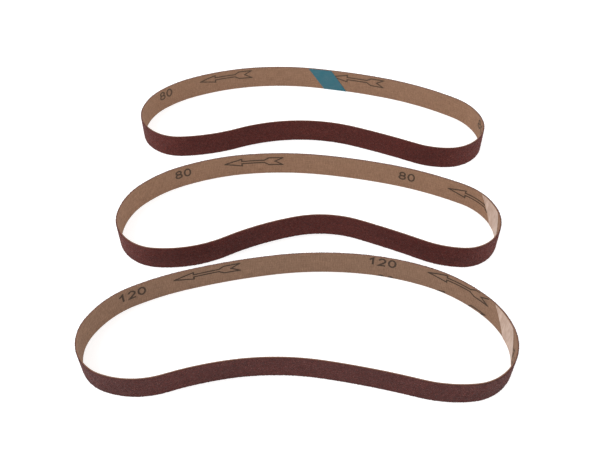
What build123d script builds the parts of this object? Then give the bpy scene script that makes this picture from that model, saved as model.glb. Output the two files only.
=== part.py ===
from build123d import *
from math import cos, radians, sin, sqrt
import os

# Three narrow cloth-backed abrasive belts, each an endless loop standing on its lower edge, one
# behind another. +X runs along the loops to the right, +Y from the front belt to the back belt,
# and +Z up. The origin is on the surface they stand on, at the middle of their footprint.
# Millimetres.

# Each belt
BELT_LENGTH = 330.0  # round the middle of its thickness
BELT_WIDTH = 10.0
CLOTH = 0.35
MAKE_COAT = 0.10  # the resin that holds the grain to the cloth
SIZE_COAT = 0.10  # the resin over the grain
GRAIN_80 = 0.20
GRAIN_120 = 0.14

# The splice: both ends of the strip are cut at a slant, butted, and taped on the inside
SEAM_GAP = 0.12
SPLICE_SLANT = 7.0  # how far the cut runs along the belt from its upper to its lower edge
TAPE_LENGTH = 10.0
TAPE_THICKNESS = 0.10
CUT_DEPTH = 6.0  # how deep the splice's cutting block goes, square to the strip
CUT_MARGIN = 1.0  # how far it runs past both edges

# Each loop's middle line seen from above, clockwise, as (x, y, heading in degrees). Two tangent
# arcs join each station to the next.
BACK_STATIONS = [
    (-67.0, 51.5, 82),  # left end
    (-49.0, 72.0, 25),
    (4.5, 79.0, -9),  # top of the back run
    (64.0, 58.0, -34),
    (69.5, 32.5, -130),  # right end
    (44.5, 29.5, -205),
    (-4.0, 43.5, -178),  # dent in the front run
    (-49.5, 33.5, -177),
]
MIDDLE_STATIONS = [
    (-68.0, -8.5, 86),
    (-48.5, 15.5, 25),
    (7.0, 22.5, -8),
    (60.5, 6.0, -29),
    (67.5, -20.0, -127),
    (42.0, -22.0, -206),
    (-3.5, -10.5, -166),
    (-53.0, -25.5, -185),
]
FRONT_STATIONS = [
    (-71.0, -55.5, 63),
    (-42.0, -36.0, 17),
    (20.0, -28.5, -7),
    (61.0, -47.5, -49),
    (65.0, -71.5, -119),
    (35.5, -78.5, -196),
    (-23.5, -71.5, -171),
    (-63.0, -76.5, -200),
]

# name, stations, grain thickness, splice's place along the middle line from the first station
BELTS = [
    ("back_belt", BACK_STATIONS, GRAIN_80, 89.5),
    ("middle_belt", MIDDLE_STATIONS, GRAIN_80, 162.5),
    ("front_belt", FRONT_STATIONS, GRAIN_120, 157.0),
]


def direction(heading):
    return Vector(cos(radians(heading)), sin(radians(heading)), 0)


def outward(tangent):
    """The loops run clockwise, so the outside is on the left."""
    return Vector(-tangent.Y, tangent.X, 0)


def tangent_arcs(start, start_dir, end, end_dir):
    """Two arcs, tangent to each other where they meet and with equal tangent lengths."""
    span = end - start
    both = start_dir + end_dir
    a = both.dot(both) - 4
    b = -2 * span.dot(both)
    reach = (-b - sqrt(b * b - 4 * a * span.dot(span))) / (2 * a)
    joint = (start + start_dir * reach + end - end_dir * reach) * 0.5
    first = TangentArc(start, joint, tangent=start_dir)
    second = TangentArc(joint, end, tangent=first % 1)
    return [first, second]


def middle_line(stations):
    """The chain of arcs round a loop, brought to the belt's exact length."""
    arcs = []
    for here, there in zip(stations, stations[1:] + stations[:1]):
        start = Vector(here[0], here[1], 0)
        end = Vector(there[0], there[1], 0)
        arcs += tangent_arcs(start, direction(here[2]), end, direction(there[2]))
    length = sum(arc.length for arc in arcs)
    return [arc.scale(BELT_LENGTH / length) for arc in arcs]


def offset_face(arcs, distance):
    """The flat face inside the loop, moved outwards by a distance. Each arc keeps its centre."""
    moved = []
    for arc in arcs:
        points = [arc @ t + outward(arc % t) * distance for t in (0, 0.5, 1)]
        moved.append(ThreePointArc(*points))
    return make_face(moved)


def layer(arcs, inside, outside):
    """A closed band of the belt's width between two distances out from the middle line."""
    ring = offset_face(arcs, outside) - offset_face(arcs, inside)
    return extrude(ring, amount=BELT_WIDTH)


def place_along(arcs, distance):
    """The point and the heading at a distance along the loop."""
    for arc in arcs:
        if distance <= arc.length:
            return arc @ (distance / arc.length), arc % (distance / arc.length)
        distance -= arc.length


def slanted_block(arcs, distance, length):
    """A block through the strip at the splice, slanted like the cut, that long along the belt."""
    point, tangent = place_along(arcs, distance)
    plane = Plane(origin=point, x_dir=tangent, z_dir=-outward(tangent))  # its y_dir is up
    lean = SPLICE_SLANT / BELT_WIDTH
    low, high = -CUT_MARGIN, BELT_WIDTH + CUT_MARGIN
    corners = []
    for height, end in ((low, -1), (low, 1), (high, 1), (high, -1)):
        along = lean * (BELT_WIDTH / 2 - height) + end * length / 2
        corners.append(plane.from_local_coords(Vector(along, height, 0)))
    return extrude(make_face(Polyline(*corners, close=True)), amount=CUT_DEPTH / 2, both=True)


def strip(arcs, inside, outside, splice):
    """One layer of the belt, cut through at the splice."""
    return layer(arcs, inside, outside) - slanted_block(arcs, splice, SEAM_GAP)


def splice_tape(arcs, cloth_face, splice):
    tape = layer(arcs, cloth_face - TAPE_THICKNESS, cloth_face)
    return tape & slanted_block(arcs, splice, TAPE_LENGTH)


def belt(stations, grain, splice):
    """Every piece of one belt, from the inside out."""
    arcs = middle_line(stations)
    layers = {
        "cloth_backing": CLOTH,
        "make_coat": MAKE_COAT,
        "abrasive_grain": grain,
        "size_coat": SIZE_COAT,
    }
    inside = -sum(layers.values()) / 2
    pieces = {"splice_tape": splice_tape(arcs, inside, splice)}
    for name, thickness in layers.items():
        pieces[name] = strip(arcs, inside, inside + thickness, splice)
        inside += thickness
    return pieces


def centred(nodes):
    """Moves the set so that the middle of its footprint is at the origin."""
    middle = Compound(list(nodes.values())).bounding_box().center()
    shift = Location((-middle.X, -middle.Y, 0))
    return {name: shift * shape for name, shape in nodes.items()}


nodes = {}
for belt_name, stations, grain, splice in BELTS:
    for piece, shape in belt(stations, grain, splice).items():
        nodes[f"{belt_name}_{piece}"] = shape

os.makedirs("parts", exist_ok=True)
for name, shape in centred(nodes).items():
    export_step(shape, f"parts/{name}.step")
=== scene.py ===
import math

import bpy
import numpy as np
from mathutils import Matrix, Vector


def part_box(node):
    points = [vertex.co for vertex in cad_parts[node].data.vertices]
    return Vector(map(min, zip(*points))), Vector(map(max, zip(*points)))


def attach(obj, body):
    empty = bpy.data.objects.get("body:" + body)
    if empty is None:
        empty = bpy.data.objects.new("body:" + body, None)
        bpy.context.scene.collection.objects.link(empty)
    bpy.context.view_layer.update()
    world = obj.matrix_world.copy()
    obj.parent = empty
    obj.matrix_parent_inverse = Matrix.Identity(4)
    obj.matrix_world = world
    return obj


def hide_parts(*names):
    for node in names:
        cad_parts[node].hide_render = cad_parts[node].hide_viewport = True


# Three cloth-backed sanding belts. Each belt is built as the flat strip it was cut as, in strip
# coordinates (along, out, height), and then bent round its loop: along runs clockwise from the
# middle of the splice, out is the distance from the cloth's inner face towards the abrasive, and
# height is above the lower edge.

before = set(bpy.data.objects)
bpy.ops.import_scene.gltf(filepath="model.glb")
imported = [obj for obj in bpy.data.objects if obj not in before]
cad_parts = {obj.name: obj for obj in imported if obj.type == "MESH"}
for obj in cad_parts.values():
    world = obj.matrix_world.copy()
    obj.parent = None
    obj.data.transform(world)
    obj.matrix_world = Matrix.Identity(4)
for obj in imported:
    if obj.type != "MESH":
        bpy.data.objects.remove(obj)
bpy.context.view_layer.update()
rng = np.random.default_rng(330)

MM = 0.001

# The strip as it was cut
STRIP_WIDTH = 10 * MM

# Spacing of points
PATH_STEP = 0.05 * MM  # along the loop's path
CLOTH_STEP = 0.2 * MM
TAPE_STEP = 0.2 * MM
FLAT_STEP = 0.5 * MM  # where a layer has little relief
PRINT_STEP = 0.25 * MM
REAR_ROWS = 7  # rows of points on the side of a layer that is glued to the next

# Reading the frame's meshes
UPRIGHT = 0.1  # a wall's normal has no more than this of the vertical in it
SAME_HEIGHT = 0.001 * MM
SAME_PLACE = 7  # decimals of a metre

# Cloth
THREAD_PITCH = 0.6 * MM  # from one thread to the next
THREAD_RELIEF = 0.05 * MM
SHALLOW_GROOVE = 0.35  # a groove beside a thread that passes under, where one on top has 1
GROOVE_SHARPNESS = 1.5
THREAD_UNEVENNESS = 0.08  # of the relief, at random
DEEPEST_GROOVE = 1.2  # in reliefs, unevenness included

# Slit edges
EDGE_WAVER = 0.05 * MM  # how far they stray
EDGE_REACH = 0.6 * MM  # how far in from an edge the rows stray with it
EDGE_SMOOTHING = 9  # columns of points that a stray is spread over

# Grain and the resin over it
GRAIN_SHIFT = 0.33  # how far a grain strays from its point of the grid, in grid steps
GRAIN_HEIGHTS = (2.0, 1.6)  # the beta distribution of heights, from shoulders to tips
SIZE_LEVEL = 0.15  # how far the resin lies under the grain's top, in thicknesses of both
SIZE_RELIEF = 0.08  # in thicknesses of both, at random

# Tape
TAPE_THICKNESS = 0.1 * MM
TAPE_RELIEF = 0.006 * MM

# The printing on the cloth
INK_THICKNESS = 0.015 * MM
STROKE_UNEVENNESS = 0.07  # of a stroke's width, at random
MITRE_LIMIT = 0.6  # holds in the mitres of sharp corners: 4 is a straight line, 0 a turn back
EDGE_CLEARANCE = 0.06 * MM  # no ink comes nearer to the slit edges
CUT_OFF = 0.15 * MM  # a stroke whose middle comes nearer to an edge ends there
SHORTEST_MARK = 0.8 * MM
DIGIT_STROKE = 0.68 * MM
DIGIT_HEIGHT = 4.1 * MM
DIGIT_WIDTH = 3.0 * MM
DIGIT_SPACING = 3.5 * MM
CURVE_POINTS = 33
ARROW_STROKE = 0.56 * MM
ARROW = [  # half of the outline, from the tip, in mm
    (0.1, 0.0),
    (6.9, 1.72),
    (6.9, 0.58),
    (15.7, 0.58),
    (17.5, 1.75),
    (23.1, 1.84),
    (20.0, 0.0),
]
ARROW_LENGTH = max(x for x, _ in ARROW) * MM

# The belts. first_tip is where along the strip the first arrow points, tip_spacing is from one
# arrow's tip to the next one's, and number_leads are how far before each tip its number starts, in
# mm. print_height is that of the first arrow, print_drift is the rise per length along the strip,
# and row_pitch is the distance to the next row of print on the uncut cloth.
BELTS = {
    "back_belt": {
        "number": "80",
        "film": "green",
        "grain_spacing": 0.20 * MM,
        "first_tip": 1.6 * MM,
        "tip_spacing": 89.65 * MM,
        "number_leads": (19.7, 19.7, 19.7, 19.7),
        "print_height": 7.05 * MM,
        "print_drift": 0.0,
        "row_pitch": 9.0 * MM,
    },
    "middle_belt": {
        "number": "80",
        "film": "clear",
        "grain_spacing": 0.20 * MM,
        "first_tip": 38.8 * MM,
        "tip_spacing": 88.75 * MM,
        "number_leads": (19.8, 19.8, 19.8, 19.8),
        "print_height": 7.75 * MM,
        "print_drift": -0.0073,
        "row_pitch": 9.0 * MM,
    },
    "front_belt": {
        "number": "120",
        "film": "clear",
        "grain_spacing": 0.195 * MM,
        "first_tip": 26.15 * MM,
        "tip_spacing": 89.0 * MM,
        "number_leads": (20.6, 20.6, 19.8, 21.05),
        "print_height": 4.35 * MM,
        "print_drift": 0.0130,
        "row_pitch": 8.75 * MM,
    },
}

# The set and the camera
FLOOR_SIZE = 6.0
FLOOR_DROP = 0.05 * MM  # keeps the floor clear of the belts' lower edges
BACKDROP_RADIUS = 2.9
BACKDROP_HEIGHT = 1.0
BACKDROP_SIDES = 96
CAMERA_PLACE = (-1.88 * MM, -204.24 * MM, 215.67 * MM)
CAMERA_TILT_DOWN = 47.889  # degrees
CAMERA_LENS = 46.76  # mm, on a sensor 36 mm wide


# Reading each loop from the frame


def wall_chains(node, height):
    """The lines that a node's upright walls draw at that height, each in order."""
    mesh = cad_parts[node].data
    links = {}
    for face in mesh.polygons:
        if abs(face.normal.z) > UPRIGHT:
            continue
        ring = [mesh.vertices[i].co for i in face.vertices]
        for a, b in zip(ring, ring[1:] + ring[:1]):
            if abs(a.z - height) < SAME_HEIGHT and abs(b.z - height) < SAME_HEIGHT:
                keys = [(round(p.x, SAME_PLACE), round(p.y, SAME_PLACE)) for p in (a, b)]
                if keys[0] != keys[1]:
                    links.setdefault(keys[0], set()).add(keys[1])
                    links.setdefault(keys[1], set()).add(keys[0])
    chains = []
    while links:
        here = next((p for p in sorted(links) if len(links[p]) == 1), None)
        if here is None:
            raise SystemExit(f"{node}: its walls draw a closed line, with no splice")
        chain = [here]
        while links[here]:
            there = min(links[here])
            links[here].discard(there)
            links[there].discard(here)
            chain.append(there)
            here = there
        links = {p: ends for p, ends in links.items() if ends}
        chains.append(np.array(chain))
    return chains


def clockwise(line):
    x, y = line.T
    area = np.sum(x * np.roll(y, -1) - np.roll(x, -1) * y)
    return line if area < 0 else line[::-1]


def line_length(line):
    return np.linalg.norm(np.diff(line, axis=0), axis=1).sum()


def inner_face(node, height):
    """The cloth's inner face at that height, clockwise from one side of the splice to the other."""
    return clockwise(min(wall_chains(node, height), key=line_length))


def through_points(points, step):
    """A smooth closed line through the points, leaving each along the circle that passes through
    it and its two neighbours."""
    after = np.roll(points, -1, axis=0) - points
    before = np.roll(after, 1, axis=0)
    long_after = np.linalg.norm(after, axis=1, keepdims=True)
    long_before = np.linalg.norm(before, axis=1, keepdims=True)
    tangent = before / long_before * long_after + after / long_after * long_before
    tangent /= np.linalg.norm(tangent, axis=1, keepdims=True)
    line = []
    for i, start in enumerate(points):
        j = (i + 1) % len(points)
        size = long_after[i, 0]
        t = np.linspace(0, 1, max(2, math.ceil(size / step)) + 1)[:-1, None]
        line.append(
            (2 * t**3 - 3 * t**2 + 1) * start
            + (t**3 - 2 * t**2 + t) * tangent[i] * size
            + (3 * t**2 - 2 * t**3) * points[j]
            + (t**3 - t**2) * tangent[j] * size
        )
    return np.vstack(line)


class Loop:
    """A belt's path and its layers, measured on the frame. The path is the lower edge of the
    cloth's inner face, and reach is the distance along it. The splice leans by slant over the
    belt's width, and start is the strip coordinate, along, of the path's first point."""

    def __init__(self, belt):
        cloth = f"{belt}_cloth_backing"
        low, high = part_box(cloth)
        self.width = high.z - low.z
        bottom = inner_face(cloth, low.z)
        top = inner_face(cloth, high.z)
        line = through_points(bottom, PATH_STEP)
        line = np.vstack([line, line[:1]])
        self.x, self.y = line.T
        self.inner_x = self.x.min()
        steps = np.linalg.norm(np.diff(line, axis=0), axis=1)
        self.reach = np.concatenate([[0], np.cumsum(steps)])
        self.length = self.reach[-1]
        slope = np.gradient(line, axis=0)
        slope /= np.linalg.norm(slope, axis=1, keepdims=True)
        self.slope_x, self.slope_y = slope.T
        self.seam_gap = self.length - self.reach_at(bottom[-1])
        top_start = (self.reach_at(top[0]) + self.length / 2) % self.length
        self.slant = self.length / 2 - top_start
        self.start = self.slant / 2 - self.seam_gap / 2

    def reach_at(self, point):
        """The distance along the path of the place nearest to a point."""
        gap = (self.x - point[0]) ** 2 + (self.y - point[1]) ** 2
        return self.reach[np.argmin(gap[:-1])]

    def out_to(self, node):
        """How far a node's outer face stands out from the cloth's inner face."""
        return self.inner_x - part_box(node)[0].x

    def lean(self, height):
        """How far a line along the splice's slant is shifted at that height."""
        return self.slant * (0.5 - height / self.width)

    def bend(self, along, out, height):
        """Strip coordinates to the frame's."""
        distance = (along - self.start) % self.length
        x = np.interp(distance, self.reach, self.x)
        y = np.interp(distance, self.reach, self.y)
        slope_x = np.interp(distance, self.reach, self.slope_x)
        slope_y = np.interp(distance, self.reach, self.slope_y)
        return np.stack([x - slope_y * out, y + slope_x * out, height + 0 * x], axis=-1)


# Building meshes in strip coordinates


def make_piece(name, loop, strip, faces, smooth=True):
    """An object from points in strip coordinates, which it also keeps in mm as an attribute."""
    strip = strip.reshape(-1, 3)
    points = loop.bend(strip[:, 0], strip[:, 1], strip[:, 2])
    mesh = bpy.data.meshes.new(name)
    mesh.from_pydata(points.tolist(), [], faces)
    mesh.polygons.foreach_set("use_smooth", np.full(len(mesh.polygons), smooth))
    attribute = mesh.attributes.new("strip", "FLOAT_VECTOR", "POINT")
    attribute.data.foreach_set("vector", (strip / MM).astype(np.float32).ravel())
    mesh.validate()
    piece = bpy.data.objects.new(name, mesh)
    bpy.context.scene.collection.objects.link(piece)
    return piece


def slab(name, loop, along, height, relief, back, smooth=True):
    """A closed layer. One side is a grid of points at the distances in relief. The other side, at
    the distance back, is plainer: it has few rows of the grid."""
    n, m = along.shape
    kept = np.unique(np.linspace(0, m - 1, REAR_ROWS).round().astype(int))
    k = len(kept)
    front = np.stack([along, relief + 0 * along, height], axis=-1)
    rear = np.stack([along, back + 0 * along, height], axis=-1)[:, kept]
    strip = np.vstack([front.reshape(-1, 3), rear.reshape(-1, 3)])
    g = np.arange(n * m).reshape(n, m)
    r = n * m + np.arange(n * k).reshape(n, k)
    sides = [
        (g[:-1, :-1], g[1:, :-1], g[1:, 1:]),
        (g[:-1, :-1], g[1:, 1:], g[:-1, 1:]),
        (r[:-1, :-1], r[:-1, 1:], r[1:, 1:], r[1:, :-1]),
        (g[:-1, 0], r[:-1, 0], r[1:, 0], g[1:, 0]),
        (g[:-1, -1], g[1:, -1], r[1:, -1], r[:-1, -1]),
    ]
    faces = []
    for side in sides:
        faces += np.stack([corner.ravel() for corner in side], axis=-1).tolist()
    for i, (low, high) in enumerate(zip(kept[:-1], kept[1:])):
        faces.append([*g[0, low : high + 1].tolist(), r[0, i + 1], r[0, i]])
        faces.append([*g[-1, low : high + 1][::-1].tolist(), r[-1, i], r[-1, i + 1]])
    if np.mean(relief) > back:
        faces = [f[::-1] for f in faces]
    return make_piece(name, loop, strip, faces, smooth)


def slanted_grid(loop, start, end, step):
    """Along and height of a grid of points whose ends follow the splice's slant."""
    columns = max(2, round((end - start) / step)) + 1
    rows = max(2, round(loop.width / step)) + 1
    place = np.linspace(start, end, columns)[:, None]
    height = np.linspace(0, loop.width, rows)[None, :] + 0 * place
    return place + loop.lean(height), height


def strip_grid(loop, step):
    """The grid of a layer that runs from one side of the splice to the other."""
    half_gap = loop.seam_gap / 2
    return slanted_grid(loop, half_gap, loop.length - half_gap, step)


def wavering_edges(height, width):
    """Moves the two edges of a grid in a little here and there, and the rows near them less."""
    stray = rng.normal(0, 1, (len(height), 2))
    kernel = np.hanning(EDGE_SMOOTHING) / np.hanning(EDGE_SMOOTHING).sum()
    for side in (0, 1):
        padded = np.pad(stray[:, side], EDGE_SMOOTHING // 2, "wrap")
        stray[:, side] = np.convolve(padded, kernel, "valid")
    low = np.clip(1 - height / EDGE_REACH, 0, 1)
    high = np.clip(1 - (width - height) / EDGE_REACH, 0, 1)
    inward = np.abs(stray) * EDGE_WAVER
    return height + low * inward[:, :1] - high * inward[:, 1:]


# The layers of a belt


def groove(position):
    """From 0 in the middle of a thread to 1 between it and the next."""
    return (0.5 + 0.5 * np.cos(2 * np.pi * position / THREAD_PITCH)) ** GROOVE_SHARPNESS


def cloth(belt, loop):
    """Plain weave: at each crossing one of the two threads is on top, and there the grooves
    beside it are deep and those beside the other are shallow."""
    along, height = strip_grid(loop, CLOTH_STEP)
    turns = [np.sin(np.pi * position / THREAD_PITCH) for position in (along, height)]
    warp_on_top = 0.5 + 0.5 * turns[0] * turns[1]
    extra = 1.0 - SHALLOW_GROOVE
    beside_weft = groove(along) * (1.0 - extra * warp_on_top)
    beside_warp = groove(height) * (SHALLOW_GROOVE + extra * warp_on_top)
    relief = np.maximum(beside_weft, beside_warp) + rng.normal(0, THREAD_UNEVENNESS, along.shape)
    relief = THREAD_RELIEF * np.clip(relief, 0, DEEPEST_GROOVE)
    height = wavering_edges(height, loop.width)
    return slab(f"{belt}_cloth", loop, along, height, relief, loop.out_to(f"{belt}_cloth_backing"))


def make_coat(belt, loop):
    """The resin between the cloth and the grain."""
    along, height = strip_grid(loop, FLAT_STEP)
    inside = loop.out_to(f"{belt}_cloth_backing")
    outside = loop.out_to(f"{belt}_make_coat")
    return slab(f"{belt}_make_resin", loop, along, height, outside, inside)


def grain(belt, loop):
    """Angular grains of uneven height, one to each point of the grid."""
    spacing = BELTS[belt]["grain_spacing"]
    along, height = strip_grid(loop, spacing)
    n, m = along.shape
    inside = loop.out_to(f"{belt}_make_coat")
    tips = loop.out_to(f"{belt}_size_coat")
    shoulders = (inside + loop.out_to(f"{belt}_abrasive_grain")) / 2
    relief = shoulders + (tips - shoulders) * rng.beta(*GRAIN_HEIGHTS, (n, m))
    shift = GRAIN_SHIFT * spacing
    along = along + rng.uniform(-shift, shift, (n, m))
    inner_rows = np.ones(m)
    inner_rows[[0, -1]] = 0
    height = height + rng.uniform(-shift, shift, (n, m)) * inner_rows
    height = wavering_edges(height, loop.width)
    return slab(f"{belt}_grain", loop, along, height, relief, inside, smooth=False)


def size_coat(belt, loop):
    """The upper resin fills between the grains and leaves their tips standing out."""
    along, height = strip_grid(loop, FLAT_STEP)
    inside = loop.out_to(f"{belt}_make_coat")
    thickness = loop.out_to(f"{belt}_size_coat") - inside
    level = loop.out_to(f"{belt}_abrasive_grain") - SIZE_LEVEL * thickness
    relief = level + SIZE_RELIEF * thickness * rng.normal(0, 1, along.shape)
    return slab(f"{belt}_size_resin", loop, along, height, relief, inside)


def tape(belt, loop):
    """A film over the joint, a little uneven."""
    points = np.array([v.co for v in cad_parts[f"{belt}_splice_tape"].data.vertices])
    places = np.array([loop.reach_at(p) for p in points]) + loop.start
    places = (places - loop.lean(points[:, 2]) + loop.length / 2) % loop.length
    places -= loop.length / 2
    along, height = slanted_grid(loop, places.min(), places.max(), TAPE_STEP)
    relief = -TAPE_THICKNESS + TAPE_RELIEF * rng.normal(0, 1, along.shape)
    return slab(f"{belt}_tape", loop, along, height, relief, 0.0)


# Print


def circle_line(x, y, radius_x, radius_y, start=0.0, end=360.0):
    angles = np.radians(np.linspace(start, end, CURVE_POINTS))
    return np.stack([x + radius_x * np.cos(angles), y + radius_y * np.sin(angles)], axis=-1)


def digit_lines(digit):
    """The strokes of a digit in a box one unit wide and one high, and whether each is closed."""
    if digit == "0":
        return [(circle_line(0.5, 0.5, 0.5, 0.5)[:-1], True)]
    if digit == "8":
        upper = circle_line(0.5, 0.76, 0.42, 0.24)[:-1]
        lower = circle_line(0.5, 0.26, 0.5, 0.26)[:-1]
        return [(upper, True), (lower, True)]
    if digit == "1":
        return [(np.array([(0.1, 0.74), (0.62, 1.0), (0.62, 0.0)]), False)]
    if digit == "2":
        hook = circle_line(0.5, 0.68, 0.46, 0.32, 170, -35)
        return [(np.vstack([hook, [(0.02, 0.0), (1.0, 0.0)]]), False)]
    raise SystemExit(f"no strokes for the digit {digit}")


def arrow_line():
    half = np.array(ARROW) * MM
    return np.vstack([half, half[-2:0:-1] * [1, -1]])


def resampled(line, closed, step):
    if closed:
        line = np.vstack([line, line[:1]])
    points = []
    for a, b in zip(line[:-1], line[1:]):
        count = max(1, math.ceil(np.linalg.norm(b - a) / step))
        points += [a + (b - a) * k / count for k in range(count)]
    if not closed:
        points.append(line[-1])
    return np.array(points)


def stroke_sides(line, closed, width):
    """The left and right sides of a stroke of that width, mitred at its corners."""
    after = np.roll(line, -1, axis=0) - line
    before = np.roll(after, 1, axis=0)
    if not closed:
        after[-1] = before[-1]
        before[0] = after[0]
    after /= np.linalg.norm(after, axis=1, keepdims=True)
    before /= np.linalg.norm(before, axis=1, keepdims=True)
    normal = np.stack([-(after + before)[:, 1], (after + before)[:, 0]], axis=-1)
    square = np.maximum((normal**2).sum(1, keepdims=True), MITRE_LIMIT)
    offset = normal / square * width
    return line + offset, line - offset


def kept_runs(line, closed, inside):
    """The stretches of a line whose points are marked as inside."""
    if inside.all():
        return [(line, closed)]
    if closed:
        first = int(np.argmin(inside))
        line, inside = np.roll(line, -first, axis=0), np.roll(inside, -first)
    breaks = np.flatnonzero(np.diff(inside.astype(int))) + 1
    runs = [line[r] for r in np.split(np.arange(len(line)), breaks) if inside[r[0]]]
    return [(run, False) for run in runs if len(run) > 2 and line_length(run) > SHORTEST_MARK]


def stroke_solid(line, closed, width, loop):
    """Points in strip coordinates and faces of a thin ribbon of ink along a line."""
    n = len(line)
    widths = width * (1 + STROKE_UNEVENNESS * rng.normal(0, 1, (n, 1)))
    left, right = stroke_sides(line, closed, widths)
    for side in (left, right):
        side[:, 1] = np.clip(side[:, 1], EDGE_CLEARANCE, loop.width - EDGE_CLEARANCE)
    top, bottom = -INK_THICKNESS, INK_THICKNESS
    corners = [(left, top), (right, top), (right, bottom), (left, bottom)]
    columns = [np.column_stack([p[:, 0], np.full(n, out), p[:, 1]]) for p, out in corners]
    faces = []
    for i in range(n if closed else n - 1):
        j = (i + 1) % n
        for a in range(4):
            b = (a + 1) % 4
            faces.append([4 * i + a, 4 * i + b, 4 * j + b, 4 * j + a])
    if not closed:
        faces.append([3, 2, 1, 0])
        faces.append([4 * n - 4, 4 * n - 3, 4 * n - 2, 4 * n - 1])
    return np.stack(columns, axis=1).reshape(-1, 3), faces


def mark_lines(number, lead):
    """The strokes of one arrow, its tip at the origin, and of the number that starts before it."""
    mark = [(arrow_line(), True, ARROW_STROKE)]
    size = np.array([DIGIT_WIDTH, DIGIT_HEIGHT]) - DIGIT_STROKE
    for k, digit in enumerate(number):
        corner = [k * DIGIT_SPACING - lead, -DIGIT_HEIGHT / 2]
        for line, closed in digit_lines(digit):
            mark.append((line * size + corner + DIGIT_STROKE / 2, closed, DIGIT_STROKE))
    return mark


def printed_lines(belt, loop):
    """Every stroke of print on the uncut cloth, as (along, height) points."""
    facts = BELTS[belt]
    first_tip = facts["first_tip"]
    tips = np.arange(first_tip, loop.length + ARROW_LENGTH, facts["tip_spacing"])
    lines = []
    for below in (0, facts["row_pitch"]):
        for tip, lead in zip(tips, facts["number_leads"]):
            for line, closed, width in mark_lines(facts["number"], lead * MM):
                line = resampled(line + [tip, 0], closed, PRINT_STEP)
                drift = facts["print_drift"] * (line[:, 0] - first_tip)
                line[:, 1] += facts["print_height"] + drift - below
                lines.append((line, closed, width))
    return lines


def print_on(belt, loop):
    """The ink: thin ribbons on the cloth's threads, cut off where the strip was cut."""
    strips, faces, count = [], [], 0
    for line, closed, width in printed_lines(belt, loop):
        place = line[:, 0] - loop.lean(line[:, 1])
        end = loop.seam_gap / 2 + width / 2
        inside = (place > end) & (place < loop.length - end)
        inside &= (line[:, 1] > CUT_OFF) & (line[:, 1] < loop.width - CUT_OFF)
        for run, is_closed in kept_runs(line, closed, inside):
            strip, new = stroke_solid(run, is_closed, width, loop)
            faces += [[i + count for i in f] for f in new]
            strips.append(strip)
            count += len(strip)
    return make_piece(f"{belt}_print", loop, np.vstack(strips), faces, smooth=False)


# Materials


def rgba(value):
    return (*value, 1.0) if isinstance(value, tuple) and len(value) == 3 else value


def srgb(red, green, blue):
    """A colour from 0 to 255 as the screen shows it, as the linear colour that shaders take."""
    parts = (red, green, blue)
    return tuple(((c / 255 + 0.055) / 1.055) ** 2.4 if c > 10 else c / 3295 for c in parts)


class Nodes:
    """A new material, and short ways to add shader nodes to it. Scales of textures are in
    features per mm along, out and up the strip, and a scale of 0 draws them out without end."""

    def __init__(self, name):
        self.material = bpy.data.materials.new(name)
        self.material.use_nodes = True
        self.tree = self.material.node_tree
        self.tree.nodes.clear()
        self.shader = self.add("ShaderNodeBsdfPrincipled")
        output = self.add("ShaderNodeOutputMaterial")
        self.link(self.shader.outputs["BSDF"], output.inputs["Surface"])
        self.strip = self.add("ShaderNodeAttribute", attribute_name="strip").outputs["Vector"]
        parts = self.add("ShaderNodeSeparateXYZ")
        self.link(self.strip, parts.inputs[0])
        self.out, self.height = parts.outputs["Y"], parts.outputs["Z"]

    def add(self, kind, **settings):
        node = self.tree.nodes.new(kind)
        for key, value in settings.items():
            setattr(node, key, value)
        return node

    def link(self, source, target):
        self.tree.links.new(source, target)

    def put(self, target, value):
        """Links a socket, or sets a plain value."""
        if isinstance(value, bpy.types.NodeSocket):
            self.link(value, target)
        else:
            target.default_value = value

    def math(self, operation, a, b=0.0):
        node = self.add("ShaderNodeMath", operation=operation)
        self.put(node.inputs[0], a)
        self.put(node.inputs[1], b)
        return node.outputs[0]

    def scaled(self, scale):
        node = self.add("ShaderNodeVectorMath", operation="MULTIPLY")
        self.link(self.strip, node.inputs[0])
        node.inputs[1].default_value = scale
        return node.outputs[0]

    def noise(self, scale, detail=3.0, roughness=0.5):
        node = self.add("ShaderNodeTexNoise")
        self.link(self.scaled(scale), node.inputs["Vector"])
        node.inputs["Scale"].default_value = 1.0
        node.inputs["Detail"].default_value = detail
        node.inputs["Roughness"].default_value = roughness
        return node.outputs["Fac"]

    def cells(self, scale):
        node = self.add("ShaderNodeTexVoronoi")
        self.link(self.scaled(scale), node.inputs["Vector"])
        node.inputs["Scale"].default_value = 1.0
        return node.outputs

    def spread(self, value, low, high, to_low=0.0, to_high=1.0):
        """What lies between low and high, spread from to_low to to_high."""
        node = self.add("ShaderNodeMapRange")
        self.put(node.inputs["Value"], value)
        node.inputs["From Min"].default_value = low
        node.inputs["From Max"].default_value = high
        node.inputs["To Min"].default_value = to_low
        node.inputs["To Max"].default_value = to_high
        return node.outputs["Result"]

    def mix(self, factor, a, b):
        node = self.add("ShaderNodeMix", data_type="RGBA")
        self.put(node.inputs["Factor"], factor)
        self.put(node.inputs["A"], rgba(a))
        self.put(node.inputs["B"], rgba(b))
        return node.outputs["Result"]

    def bump(self, height, distance, strength=1.0):
        node = self.add("ShaderNodeBump")
        node.inputs["Strength"].default_value = strength
        node.inputs["Distance"].default_value = distance
        self.link(height, node.inputs["Height"])
        self.link(node.outputs["Normal"], self.shader.inputs["Normal"])

    def set(self, **values):
        """Sets or links the shader's own sockets."""
        for key, value in values.items():
            self.put(self.shader.inputs[key.replace("_", " ")], rgba(value))


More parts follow.
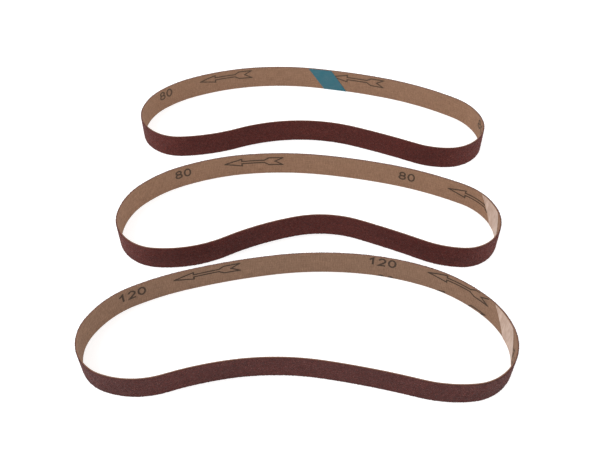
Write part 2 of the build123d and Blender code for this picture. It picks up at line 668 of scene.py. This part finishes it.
def cloth_material(name, dark, light, worn, groove):
    """Resin-stiffened cotton. Its cut threads show at the slit edges, a little redder. The grooves
    of its weave are darkened by their depth: painted shade.
    """
    m = Nodes(name)
    warp = m.noise((0.25, 0, 4.0), detail=2.0)
    weft = m.noise((4.0, 0, 0.35), detail=2.0)
    fuzz = m.noise((2.2, 2.2, 2.2), roughness=0.6)
    threads = m.math("MULTIPLY", m.math("ADD", m.math("ADD", warp, weft), fuzz), 1 / 3)
    brown = m.mix(m.spread(threads, 0.4, 0.6), dark, light)
    patches = m.noise((0.12, 0, 0.3))
    brown = m.mix(m.spread(patches, 0.3, 0.75, 0.0, 0.35), brown, worn)
    # painted shade: the deeper a groove of the weave, the more of the groove colour
    brown = m.mix(m.spread(m.out, 0.0, THREAD_RELIEF / MM, 0.0, 0.5), brown, groove)
    half = STRIP_WIDTH / MM / 2
    from_middle = m.math("ABSOLUTE", m.math("SUBTRACT", m.height, half))
    ragged = m.math("MULTIPLY", m.noise((3.0, 3.0, 3.0), detail=2.0), 0.10)
    cut = m.spread(m.math("ADD", from_middle, ragged), half - 0.05, half + 0.02)
    m.set(Base_Color=m.mix(cut, brown, srgb(128, 95, 78)))
    m.set(Roughness=m.spread(threads, 0.3, 0.7, 0.95, 0.85), Specular_IOR_Level=0.2)
    m.bump(m.noise((9.0, 9.0, 9.0), roughness=0.6), 0.02 * MM)
    return m.material


def resin_material(name, dark, light, roughness):
    m = Nodes(name)
    flow = m.noise((1.2, 1.2, 1.2))
    m.set(Base_Color=m.mix(m.spread(flow, 0.3, 0.7), dark, light), Specular_IOR_Level=0.2)
    m.set(Roughness=m.spread(flow, 0.3, 0.7, roughness, roughness + 0.15))
    m.bump(m.noise((6.0, 6.0, 6.0), detail=2.0), 0.02 * MM)
    return m.material


def grain_material(name, dark, light, pale, per_mm, low, high):
    """Aluminium oxide under resin: each grain has its own tone, and a few are pale. From low to
    high, in mm out from the cloth's inner face, they get lighter: bare tips above, and painted
    shade lower down between the grains."""
    m = Nodes(name)
    grains = m.cells((per_mm, per_mm, per_mm))
    tone = m.add("ShaderNodeSeparateColor")
    m.link(grains["Color"], tone.inputs[0])
    mottle = m.spread(m.noise((1.3, 1.3, 1.3), roughness=0.6), 0.3, 0.7)
    shade = m.math("MULTIPLY", tone.outputs["Red"], 0.35)
    shade = m.math("ADD", shade, m.math("MULTIPLY", mottle, 0.35))
    # partly painted shade: darker lower down between the grains, lighter at their bare tips
    shade = m.math("ADD", shade, m.spread(m.out, low, high, 0.0, 0.3))
    colour = m.mix(shade, dark, light)
    colour = m.mix(m.spread(tone.outputs["Green"], 0.9, 1.0, 0.0, 0.6), colour, pale)
    patches = m.noise((0.08, 0.5, 0.25))
    colour = m.mix(m.spread(patches, 0.35, 0.7, 0.0, 0.25), colour, dark)
    rough = m.spread(tone.outputs["Blue"], 0.0, 1.0, 0.45, 0.8)
    m.set(Base_Color=colour, Roughness=rough, Specular_IOR_Level=0.18)
    m.bump(grains["Distance"], 0.03 * MM, strength=0.5)
    return m.material


def green_tape_material():
    """Matt film with fine filaments in it."""
    m = Nodes("green_tape")
    filaments = m.noise((0.5, 0, 6.0), detail=2.0)
    colour = m.mix(m.spread(filaments, 0.3, 0.7), srgb(45, 92, 104), srgb(61, 104, 116))
    patches = m.noise((0.25, 0, 0.25), detail=2.0)
    colour = m.mix(m.spread(patches, 0.35, 0.65, 0.0, 0.7), colour, srgb(36, 98, 112))
    m.set(Base_Color=colour, Specular_IOR_Level=0.25)
    m.set(Roughness=m.spread(patches, 0.3, 0.7, 0.5, 0.65))
    m.bump(filaments, 0.01 * MM)
    return m.material


def clear_tape_material():
    """Milky film, with streaks where it is bonded less well."""
    m = Nodes("clear_tape")
    streaks = m.noise((1.0, 0, 0.22), roughness=0.6)
    colour = m.mix(m.spread(streaks, 0.35, 0.7), srgb(155, 125, 107), srgb(187, 162, 146))
    m.set(Base_Color=colour, Specular_IOR_Level=0.4)
    m.set(Roughness=m.spread(streaks, 0.3, 0.7, 0.3, 0.42))
    m.bump(streaks, 0.02 * MM)
    return m.material


def ink_material(name, dark, light):
    """Grey-brown ink, paler where it sank into the threads."""
    m = Nodes(name)
    soaked = m.noise((5.0, 0, 5.0), detail=2.0)
    m.set(Base_Color=m.mix(m.spread(soaked, 0.35, 0.7), dark, light))
    m.set(Roughness=m.spread(soaked, 0.3, 0.7, 0.75, 0.9), Specular_IOR_Level=0.2)
    return m.material


def white_material():
    """The floor and backdrop, which glow a little so that they show white in soft light."""
    m = Nodes("floor")
    place = m.add("ShaderNodeTexCoord").outputs["Object"]
    texture = m.add("ShaderNodeTexNoise")
    m.link(place, texture.inputs["Vector"])
    texture.inputs["Scale"].default_value = 3.0
    m.set(Base_Color=m.mix(texture.outputs["Fac"], (0.66, 0.66, 0.66), (0.70, 0.70, 0.70)))
    m.set(Roughness=0.9, Specular_IOR_Level=0.1)
    m.set(Emission_Color=(1.0, 1.0, 1.0), Emission_Strength=0.6)
    return m.material


# Stage


def add_set():
    """A floor, and a low wall far round it so that no horizon shows."""
    bpy.ops.mesh.primitive_plane_add(size=FLOOR_SIZE, location=(0, 0, -FLOOR_DROP))
    floor = bpy.context.object
    floor.name = "floor"
    bpy.ops.mesh.primitive_cylinder_add(
        vertices=BACKDROP_SIDES,
        radius=BACKDROP_RADIUS,
        depth=BACKDROP_HEIGHT,
        end_fill_type="NOTHING",
        location=(0, 0, BACKDROP_HEIGHT / 2),
    )
    backdrop = bpy.context.object
    backdrop.name = "backdrop"
    white = white_material()
    for piece in (floor, backdrop):
        piece.data.materials.append(white)


def add_light(name, place, size, power):
    """A soft box facing the middle of the set."""
    light = bpy.data.objects.new(name, bpy.data.lights.new(name, "AREA"))
    light.data.size = size
    light.data.energy = power
    light.location = place
    light.rotation_euler = (-light.location).to_track_quat("-Z", "Y").to_euler()
    bpy.context.scene.collection.objects.link(light)


def add_world(strength):
    world = bpy.data.worlds.new("studio")
    world.use_nodes = True
    background = world.node_tree.nodes["Background"]
    background.inputs["Color"].default_value = (1, 1, 1, 1)
    background.inputs["Strength"].default_value = strength
    bpy.context.scene.world = world


def add_camera():
    camera = bpy.data.objects.new("camera", bpy.data.cameras.new("camera"))
    camera.data.lens = CAMERA_LENS
    camera.data.sensor_width = 36.0
    camera.data.clip_start = 0.01
    camera.location = CAMERA_PLACE
    camera.rotation_euler = (math.radians(90 - CAMERA_TILT_DOWN), 0, 0)
    bpy.context.scene.collection.objects.link(camera)
    bpy.context.scene.camera = camera


# Putting it together


def finish_piece(piece, belt, material, node=None):
    piece.data.materials.append(material)
    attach(piece, belt)
    if node:
        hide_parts(f"{belt}_{node}")
    return piece


materials = {
    ("cloth", "80"): cloth_material(
        "brown_cloth",
        dark=srgb(126, 95, 75),
        light=srgb(162, 126, 101),
        worn=srgb(138, 108, 88),
        # groove: the colour of painted shade in the weave's grooves
        groove=srgb(92, 66, 50),
    ),
    ("cloth", "120"): cloth_material(
        "grey_cloth",
        dark=srgb(119, 91, 73),
        light=srgb(155, 122, 99),
        worn=srgb(131, 105, 87),
        # groove: the colour of painted shade in the weave's grooves
        groove=srgb(86, 63, 50),
    ),
    ("grain", "80"): grain_material(
        "coarse_grain",
        dark=srgb(42, 11, 8),
        light=srgb(107, 43, 36),
        pale=srgb(152, 90, 78),
        per_mm=5.0,
        # low, high: the heights over which painted shade between grains gives way to bare tips
        low=0.55,
        high=0.75,
    ),
    ("grain", "120"): grain_material(
        "fine_grain",
        dark=srgb(30, 10, 8),
        light=srgb(96, 41, 36),
        pale=srgb(143, 92, 84),
        per_mm=6.0,
        # low, high: the heights over which painted shade between grains gives way to bare tips
        low=0.52,
        high=0.69,
    ),
    ("size", "80"): resin_material("red_resin", srgb(58, 20, 17), srgb(84, 36, 31), 0.5),
    ("size", "120"): resin_material("grey_resin", srgb(52, 24, 22), srgb(78, 40, 37), 0.5),
    "make": resin_material("amber_resin", srgb(84, 48, 36), srgb(112, 68, 50), 0.4),
    ("tape", "green"): green_tape_material(),
    ("tape", "clear"): clear_tape_material(),
    ("ink", "back_belt"): ink_material("faint_ink", srgb(70, 56, 45), srgb(94, 75, 60)),
    ("ink", "middle_belt"): ink_material("brown_ink", srgb(58, 46, 37), srgb(84, 67, 53)),
    ("ink", "front_belt"): ink_material("dark_ink", srgb(52, 41, 33), srgb(78, 62, 49)),
}

for belt, facts in BELTS.items():
    number, film = facts["number"], facts["film"]
    loop = Loop(belt)
    backing = cloth(belt, loop)
    resin = make_coat(belt, loop)
    grit = grain(belt, loop)
    over = size_coat(belt, loop)
    joint = tape(belt, loop)
    ink = print_on(belt, loop)
    looks = materials["cloth", number], materials["grain", number], materials["size", number]
    finish_piece(backing, belt, looks[0], "cloth_backing")
    finish_piece(resin, belt, materials["make"], "make_coat")
    finish_piece(grit, belt, looks[1], "abrasive_grain")
    finish_piece(over, belt, looks[2], "size_coat")
    finish_piece(joint, belt, materials["tape", film], "splice_tape")
    finish_piece(ink, belt, materials["ink", belt])

add_set()
add_world(strength=0.66)
add_light("key", place=(-0.7, -0.1, 0.7), size=0.6, power=5.5)
add_light("fill", place=(0.7, 0.1, 0.6), size=0.6, power=2.5)
add_camera()
bpy.context.scene.view_settings.view_transform = "Standard"
